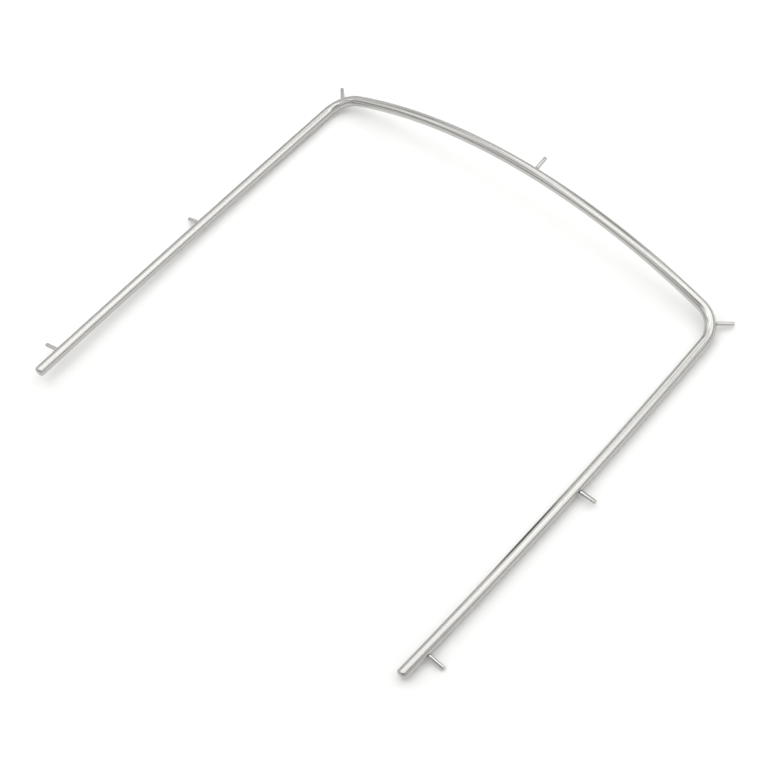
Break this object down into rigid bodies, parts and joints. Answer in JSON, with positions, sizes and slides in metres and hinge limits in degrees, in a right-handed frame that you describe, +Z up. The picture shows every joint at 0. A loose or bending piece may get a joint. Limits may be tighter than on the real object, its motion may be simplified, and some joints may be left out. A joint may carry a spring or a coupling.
{
  "type": "rubber dam frame",
  "caption": "U-shaped frame of round steel wire, with an arched crossbar and short pins on its outer side that hold a stretched rubber sheet open.",
  "frame": {"origin": "on the table, under the middle of the overall box of the frame", "axes": "+X across the frame from its left arm to its right arm, +Y from the free ends of the arms towards the crossbar, +Z up from the table, the way the crossbar arches"},
  "size_m": [0.155, 0.1338, 0.0168],
  "materials": {
    "wire_steel": "satin polished stainless wire",
    "pin_steel": "satin stainless, as drawn"
  },
  "bodies": {
    "root": {"frame_wire": "wire_steel", "left_end_pin": "pin_steel", "left_middle_pin": "pin_steel", "left_corner_pin": "pin_steel", "centre_pin": "pin_steel", "right_corner_pin": "pin_steel", "right_middle_pin": "pin_steel", "right_end_pin": "pin_steel"}
  },
  "joints": []
}
